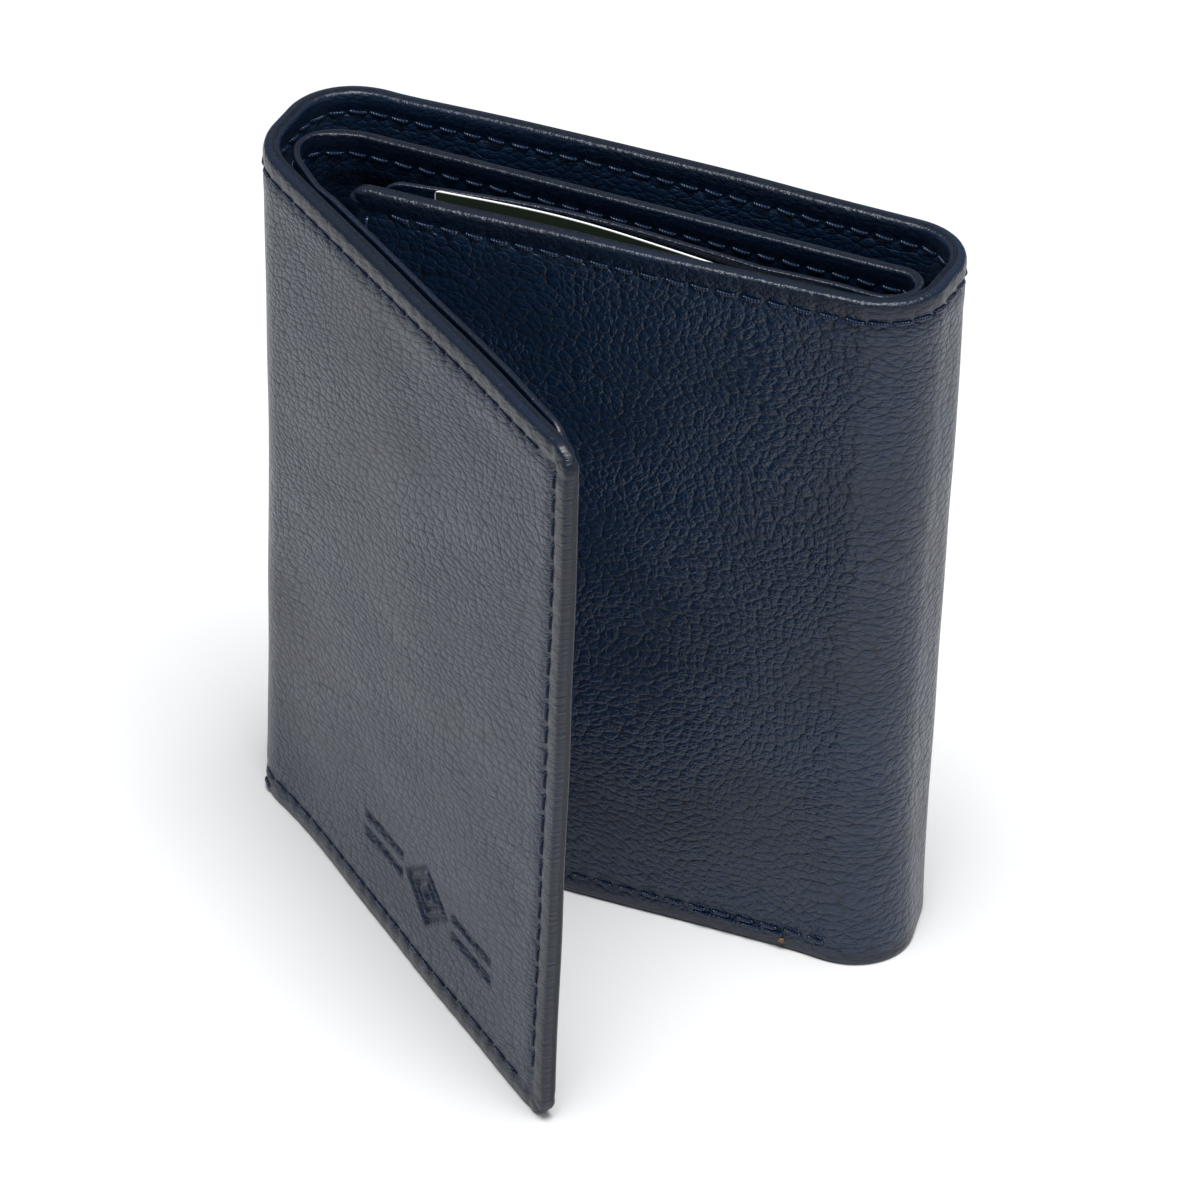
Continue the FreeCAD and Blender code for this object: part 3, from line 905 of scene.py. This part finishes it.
class Nodes:
    """Short way to write a node tree."""

    def __init__(self, name):
        self.material = bpy.data.materials.new(name)
        self.material.use_nodes = True
        self.tree = self.material.node_tree
        self.tree.nodes.clear()
        self.shader = self.tree.nodes.new("ShaderNodeBsdfPrincipled")
        output = self.tree.nodes.new("ShaderNodeOutputMaterial")
        self.link(self.shader.outputs[0], output.inputs["Surface"])

    def link(self, out, socket):
        self.tree.links.new(out, socket)

    def put(self, socket, value):
        if isinstance(value, bpy.types.NodeSocket):
            self.link(value, socket)
        else:
            socket.default_value = value

    def node(self, kind, inputs=None, **settings):
        made = self.tree.nodes.new("ShaderNode" + kind)
        for key, value in settings.items():
            setattr(made, key, value)
        for key, value in (inputs or {}).items():
            self.put(made.inputs[key], value)
        return made

    def math(self, operation, a, b=0.0, clamp=False):
        made = self.node("Math", {0: a, 1: b}, operation=operation, use_clamp=clamp)
        return made.outputs[0]

    def attribute(self, name, output="Fac"):
        return self.node("Attribute", attribute_name=name).outputs[output]

    def ramp(self, value, low, high, to_low=0.0, to_high=1.0):
        inputs = {0: value, 1: low, 2: high, 3: to_low, 4: to_high}
        return self.node("MapRange", inputs, interpolation_type="SMOOTHSTEP").outputs[0]

    def mix(self, factor, a, b):
        made = self.node("Mix", data_type="RGBA")
        self.put(made.inputs[0], factor)
        self.put(made.inputs[6], a)
        self.put(made.inputs[7], b)
        return made.outputs[2]

    def noise(self, vector, scale, detail=2.0, rough=0.5):
        inputs = {"Vector": vector, "Scale": scale, "Detail": detail, "Roughness": rough}
        return self.node("TexNoise", inputs).outputs["Fac"]

    def voronoi(self, vector, scale, feature="F1"):
        inputs = {"Vector": vector, "Scale": scale, "Randomness": 0.92}
        made = self.node("TexVoronoi", inputs, feature=feature, voronoi_dimensions="2D")
        return made.outputs["Distance"]

    def bump(self, height, distance, strength, normal=None):
        inputs = {"Height": height, "Distance": distance, "Strength": strength}
        if normal is not None:
            inputs["Normal"] = normal
        return self.node("Bump", inputs).outputs[0]

    def set(self, **values):
        for key, value in values.items():
            self.put(self.shader.inputs[key.replace("_", " ")], value)


def colour(red, green, blue):
    return (red, green, blue, 1.0)


CELL = 1.12 * MM
FLAP_CELL = 0.74 * CELL


def pebbles(n, place, cell):
    """Height of leather pebbles of one size: soft valleys around domes, with small pores."""
    valley = n.ramp(n.voronoi(place, 1 / cell, "DISTANCE_TO_EDGE"), 0.0, 0.32)
    centres = n.voronoi(place, 1 / cell, "F1")
    dome = n.math("SUBTRACT", 1.0, n.math("MULTIPLY", centres, centres), clamp=True)
    pores = n.ramp(n.voronoi(place, 2.3 / cell, "DISTANCE_TO_EDGE"), 0.0, 0.32)
    height = n.math("ADD", n.math("MULTIPLY", valley, 0.27), n.math("MULTIPLY", dome, 0.56))
    return n.math("ADD", height, n.math("MULTIPLY", pores, 0.17))


def leather_material(name, base, crease, grain=1.0, fine_until=None):
    """Pebble-grained leather: domed cells with painted shade in the valleys between them, smoother on turned
    rims.
    """
    n = Nodes(name)
    gloss = 0.29
    skin = n.attribute("skin", "Vector")
    rim = n.attribute("rim")
    fold = n.attribute("extra")
    sway = n.node("TexNoise", {"Vector": skin, "Scale": 420.0, "Detail": 2.0}).outputs["Color"]
    sway = n.node("VectorMath", {0: sway, 1: (0.5, 0.5, 0.5)}, operation="SUBTRACT").outputs[0]
    sway = n.node("VectorMath", {0: sway, "Scale": 1.1 * MM}, operation="SCALE").outputs[0]
    drift = n.node("TexNoise", {"Vector": skin, "Scale": 60.0, "Detail": 1.0}).outputs["Color"]
    drift = n.node("VectorMath", {0: drift, "Scale": 6.0 * MM}, operation="SCALE").outputs[0]
    warped = n.node("VectorMath", {0: skin, 1: sway}, operation="ADD").outputs[0]
    warped = n.node("VectorMath", {0: warped, 1: drift}, operation="ADD").outputs[0]
    squeezed = n.node("Mapping", {"Vector": warped, "Scale": (1.0, 1.0, 0.0)}).outputs[0]
    cells = pebbles(n, squeezed, CELL)
    if fine_until is not None:
        tight = pebbles(n, squeezed, FLAP_CELL)
        place = n.node("SeparateXYZ", {0: skin}).outputs[0]
        cells = n.mix(n.ramp(place, fine_until, fine_until + 6 * MM), tight, cells)
    patches = n.ramp(n.noise(skin, 70.0, 2.0), 0.3, 0.7, 0.62, 1.1)
    wanted = n.math("MULTIPLY", patches, n.math("SUBTRACT", 1.0, n.math("MULTIPLY", rim, 0.78)))
    height = n.math("MULTIPLY", cells, wanted)
    fine = n.noise(skin, 5200.0, 3.0, 0.6)
    stretched = n.node("Mapping", {"Vector": skin, "Scale": (1.0, 0.22, 1.0)}).outputs[0]
    creases = n.math("MULTIPLY", n.noise(stretched, 1100.0, 3.0), fold)
    crumbs = n.math("MULTIPLY", n.noise(skin, 1900.0, 3.0, 0.6), rim)
    normal = n.bump(height, 0.26 * MM * grain, 1.0)
    normal = n.bump(creases, 0.26 * MM, 0.6, normal)
    normal = n.bump(crumbs, 0.26 * MM, 0.8, normal)
    normal = n.bump(fine, 0.03 * MM, 0.5, normal)
    # painted shade: the darker crease colour fills the grain's low places, the valleys between pebbles and
    # the pores; on the turned rims, whose relief is cut down, it covers most of the face, so the rims come
    # out darker
    tone = n.mix(n.ramp(height, 0.10, 0.62), crease, base)
    cloud = n.ramp(n.noise(skin, 32.0, 3.0), 0.35, 0.7)
    lifted = tuple(c * 1.25 for c in base[:3]) + (1.0,)
    tone = n.mix(n.math("MULTIPLY", cloud, 0.4), tone, lifted)
    worn = n.math("ADD", height, n.math("MULTIPLY", fine, 0.3))
    worn = n.math("ADD", worn, n.math("MULTIPLY", rim, 0.55))
    rough = n.ramp(worn, 0.1, 1.0, gloss + 0.17, gloss)
    n.set(Base_Color=tone, Roughness=rough, Normal=normal)
    n.shader.inputs["Specular IOR Level"].default_value = 0.47
    return n.material


# ---- threads ----


class Stitches:
    """Collects single stitches and makes one mesh of them."""

    SIDES = 7
    RINGS = ((-1.0, -0.42, 0.55), (-0.86, -0.02, 0.9), (-0.5, 0.3, 1.05), (0.0, 0.36, 1.0),
             (0.5, 0.3, 1.05), (0.86, -0.02, 0.9), (1.0, -0.42, 0.55))

    def __init__(self, seed):
        self.points, self.faces, self.turns = [], [], []
        self.chance = random.Random(seed)

    def add(self, centre, along, out, length=2.75 * MM, radius=THREAD):
        """One stitch: centre on the leather, its direction and the direction away from the leather."""
        centre, along, out = (np.array(v, float) for v in (centre, along, out))
        slant = math.radians(self.chance.uniform(2, 9))
        side = np.cross(along, out)
        along = along * math.cos(slant) + side * math.sin(slant)
        side = np.cross(along, out)
        length *= self.chance.uniform(0.94, 1.04)
        first = len(self.points)
        for reach, lift, thick in self.RINGS:
            middle = centre + along * reach * length / 2 + out * lift * radius * 1.5
            for k in range(self.SIDES):
                a = 2 * math.pi * k / self.SIDES
                ring = side * math.cos(a) + out * math.sin(a) * 0.85
                self.points.append(middle + ring * radius * thick)
                self.turns.append((reach * length / 2, a / (2 * math.pi), 0.0))
        rings = len(self.RINGS)
        for r in range(rings - 1):
            for k in range(self.SIDES):
                k2 = (k + 1) % self.SIDES
                a, b = first + r * self.SIDES, first + (r + 1) * self.SIDES
                self.faces.append((a + k, a + k2, b + k2, b + k))
        self.faces.append(tuple(first + k for k in reversed(range(self.SIDES))))
        last = first + (rings - 1) * self.SIDES
        self.faces.append(tuple(last + k for k in range(self.SIDES)))

    def piece(self, name, material):
        obj = new_object(name, new_mesh(name, self.points, self.faces))
        add_vector(obj.data, "twist", self.turns)
        dress(obj, material)
        return obj


def stitch_places(place, depth_front, depth_back, s, z, u, w, along_s):
    """Centre, direction and outward direction of a stitch on the front and on the back of a sheet."""
    small = 0.3 * MM
    s, z = np.array([s]), np.array([z])
    delta = np.array([min(u, w)])
    u, w = np.array([u]), np.array([w])

    def spot(depth, ds, dz):
        return place(s + ds, z + dz, depth(s, z, u, w, delta))[0]

    for depth, sign in ((depth_front, 1.0), (depth_back, -1.0)):
        centre = spot(depth, 0, 0)
        across = spot(depth, small, 0) - spot(depth, -small, 0)
        upward = spot(depth, 0, small) - spot(depth, 0, -small)
        out = np.cross(upward, across) * sign
        along = across if along_s else upward
        yield centre, along / np.linalg.norm(along), out / np.linalg.norm(out)


def stretch_of(s):
    """The stretch of the outer leather that a distance along it falls in."""
    for stretch in STRETCHES:
        high = stretch[2]
        if high is None or s < high:
            return stretch


def make_shell_stitches(thread):
    """The rows of stitches round the outer leather, seen from outside and from inside."""
    rows = {stretch[0]: Stitches(index + 3) for index, stretch in enumerate(STRETCHES)}

    def sew(s, z, u, w, along_s):
        row = rows[stretch_of(s)[0]]
        for spot in stitch_places(shell_place, shell_front, shell_back, s, z, u, w, along_s):
            row.add(*spot)

    first = math.ceil((SEAM + PITCH * 0.2) / PITCH)
    for k in range(first, int((S_END - SEAM) / PITCH)):
        s = (k + 0.5) * PITCH
        sew(s, HEIGHT - SEAM, FAR, SEAM, True)
        if float(seam_strength(np.array([s]), True)[0]) > 0.55:
            sew(s, SEAM, FAR, SEAM, True)
    for k in range(first, int((HEIGHT - SEAM) / PITCH)):
        z = (k + 0.5) * PITCH
        sew(SEAM, z, SEAM, FAR, False)
        sew(S_END - SEAM, z, SEAM, FAR, False)
    replaced = {
        "flap": ("flap_seam_thread",),
        "centre_left": ("left_fold_thread", "centre_seam_thread"),
        "centre_right": ("right_fold_thread",),
        "inner_panel": ("inner_panel_seam_thread",),
    }
    for name, _, _, body, second, start, end in STRETCHES:
        obj = rows[name].piece("shell_stitches_" + name, thread)
        if name in replaced:
            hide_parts(*replaced[name])
        shell_point(start)
        shell_point(end)
        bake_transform(obj)


def make_loose_ends(thread, knot):
    """Back-stitches and the melted thread end where the bottom row stops, and a loose end at the flap."""
    end = S_RIGHT_FRONT + 5.5 * MM
    doubled = [(end + (k + 0.35) * PITCH, SEAM - 0.75 * MM) for k in range(4)]
    crease = [(S_FLAP + 3.5 * MM, 1.2 * MM)]
    # name, body, material, seed, places along and up the leather, length and radius of a stitch
    groups = (
        ("shell_back_stitches", "inner_panel", thread, 71, doubled, 3.1 * MM, THREAD),
        ("thread_end_knot", "inner_panel", knot, 72, [(end, 1.6 * MM)], 0.9 * MM, 0.36 * MM),
        ("loose_thread_end", "left_fold_front", thread, 73, crease, 2.4 * MM, 0.24 * MM),
    )
    for name, body, material, seed, places, length, radius in groups:
        stitches = Stitches(seed)
        for s, z in places:
            spots = list(stitch_places(shell_place, shell_front, shell_back, s, z, FAR, z, True))
            stitches.add(*spots[0], length=length, radius=radius)
        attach(stitches.piece(name, material), body)


def knot_material():
    """Melted thread end, brown."""
    n = Nodes("melted_thread")
    twist = n.attribute("twist", "Vector")
    tone = n.mix(n.noise(twist, 900.0), colour(0.10, 0.05, 0.02), colour(0.22, 0.12, 0.05))
    n.set(Base_Color=tone, Roughness=0.4)
    return n.material


def thread_material():
    """Dark blue waxed thread of twisted plies."""
    n = Nodes("waxed_thread")
    twist = n.attribute("twist", "Vector")
    parts = n.node("SeparateXYZ", {0: twist}).outputs
    phase = n.math("ADD", n.math("MULTIPLY", parts[0], 2600.0), n.math("MULTIPLY", parts[1], 2.0))
    ply = n.math("PINGPONG", phase, 0.5)
    # the hollows between the twisted plies take the darker colour as painted shade; the crown colour is the
    # thread's own blue
    hollow, crown = colour(0.0020, 0.0060, 0.018), colour(0.009, 0.029, 0.082)
    shade = n.mix(n.math("MULTIPLY", ply, 2.0), hollow, crown)
    n.set(Base_Color=shade, Roughness=0.26, Normal=n.bump(ply, 0.16 * MM, 1.0))
    return n.material


def cloth_material():
    """Dark woven lining."""
    n = Nodes("woven_lining")
    parts = n.node("SeparateXYZ", {0: n.attribute("skin", "Vector")}).outputs
    warp = n.math("PINGPONG", n.math("MULTIPLY", parts[0], 2400.0), 0.5)
    weft = n.math("PINGPONG", n.math("MULTIPLY", parts[1], 2400.0), 0.5)
    weave = n.math("MULTIPLY", warp, weft)
    # the lighter colour is the cloth's own; the darker one, towards the lines between the yarns, is painted
    # shade
    tone = n.mix(n.ramp(weave, 0.0, 0.25), colour(0.003, 0.004, 0.006), colour(0.011, 0.014, 0.022))
    n.set(Base_Color=tone, Roughness=0.8, Normal=n.bump(weave, 0.08 * MM, 0.7))
    n.shader.inputs["Sheen Weight"].default_value = 0.2
    return n.material


def paper_material():
    """Dark green printed face with a white cut edge."""
    n = Nodes("printed_paper")
    skin = n.attribute("skin", "Vector")
    edge = n.attribute("extra")
    print_tone = n.mix(n.noise(skin, 160.0, 3.0), colour(0.010, 0.022, 0.012), colour(0.020, 0.036, 0.020))
    fibre = n.noise(skin, 2600.0, 3.0)
    n.set(
        Base_Color=n.mix(n.ramp(edge, 0.7, 1.0), colour(0.88, 0.88, 0.86), print_tone),
        Roughness=0.6,
        Normal=n.bump(fibre, 0.02 * MM, 0.5),
    )
    return n.material


def clear_material():
    """Clear soft plastic of the see-through pocket."""
    n = Nodes("clear_plastic")
    waves = n.noise(n.attribute("skin", "Vector"), 90.0, 2.0)
    n.set(
        Base_Color=n.mix(waves, colour(0.90, 0.92, 0.93), colour(0.95, 0.96, 0.97)),
        Normal=n.bump(waves, 0.12 * MM, 0.4),
    )
    n.shader.inputs["Roughness"].default_value = 0.12
    n.shader.inputs["Transmission Weight"].default_value = 0.93
    n.shader.inputs["IOR"].default_value = 1.3
    return n.material


# ---- camera, light and floor ----


def make_camera():
    """Camera in front of the flap, to its right and above, with a long lens."""
    data = bpy.data.cameras.new("camera")
    camera = bpy.data.objects.new("camera", data)
    bpy.context.scene.collection.objects.link(camera)
    data.sensor_width = 36.0
    data.lens = 162.8
    data.clip_start, data.clip_end = 0.05, 20
    pitch, heading, roll = math.radians(34.804), math.radians(23.587), math.radians(1.536)
    camera.location = (0.24454, -0.57231, 0.46626)
    level = math.cos(pitch)
    forward = Vector((-math.sin(heading) * level, math.cos(heading) * level, -math.sin(pitch)))
    turn = forward.to_track_quat("-Z", "Y")
    spin = Vector((0, 0, 1))
    camera.rotation_mode = "QUATERNION"
    camera.rotation_quaternion = turn @ Quaternion(spin, roll)
    bpy.context.scene.camera = camera


def make_studio():
    """Pale floor, dim even surroundings, and two soft lights."""
    scene = bpy.context.scene
    world = bpy.data.worlds.new("studio")
    scene.world = world
    world.use_nodes = True
    back = world.node_tree.nodes["Background"]
    back.inputs[0].default_value = (0.92, 0.96, 1.0, 1.0)
    back.inputs[1].default_value = 0.26
    size = 3.0
    points = [(-size, -size, 0), (size, -size, 0), (size, size, 0), (-size, size, 0)]
    floor = new_object("floor", new_mesh("floor", points, [(0, 1, 2, 3)]))
    n = Nodes("pale_floor")
    geometry = n.node("TexCoord").outputs["Object"]
    faint = n.mix(n.noise(geometry, 4.0), colour(0.86, 0.86, 0.86), colour(0.89, 0.89, 0.89))
    n.set(Base_Color=faint, Roughness=0.75)
    floor.data.materials.append(n.material)

    def panel(name, place, target, size, power):
        light = bpy.data.lights.new(name, "AREA")
        light.shape = "RECTANGLE"
        light.size, light.size_y = size
        light.energy = power
        obj = bpy.data.objects.new(name, light)
        scene.collection.objects.link(obj)
        obj.location = place
        aim = Vector(target) - Vector(place)
        obj.rotation_euler = aim.to_track_quat("-Z", "Y").to_euler()

    panel("overhead_softbox", (0.05, -0.12, 0.95), (-0.02, -0.04, 0.05), (0.6, 0.55), 11.0)
    panel("right_softbox", (0.9, -0.4, 1.2), (0.05, -0.05, 0.0), (0.8, 0.8), 2.4)
    scene.view_settings.view_transform = "Standard"


# ---- build ----

make_camera()
make_studio()
# painted shade colour for the valleys of the leather grain, passed to the leather materials as their crease
# colour
grain_valley_shade = colour(0.0015, 0.0060, 0.0170)
flap_grain_end = float(shell_stretch(S_FLAP, 0.0)[0])
navy_blue = colour(0.0042, 0.0165, 0.0450)
navy = leather_material("navy_pebble_leather", navy_blue, grain_valley_shade, fine_until=flap_grain_end)
pocket = leather_material("navy_pocket_leather", colour(0.0038, 0.0150, 0.0400), grain_valley_shade, grain=0.8)
thread = thread_material()
make_shell(navy)
make_shell_stitches(thread)
make_loose_ends(thread, knot_material())
make_linings(cloth_material())
make_band(pocket, thread)
divider_start = T_RIGHT - 5.9 * MM
centre_spans = [(divider_start - 62 * MM + i * LEAF_STEP, divider_start) for i in range(3)]
make_leaves("centre", "centre_panel", centre_spans, "low", pocket, thread)
flap_spans = [(0.0, S_FLAP - FLAP_EDGE - 19 * MM - i * LEAF_STEP) for i in range(2)]
make_leaves("flap", "flap", flap_spans, "high", pocket, thread)
make_window(pocket, clear_material())
make_paper(paper_material())
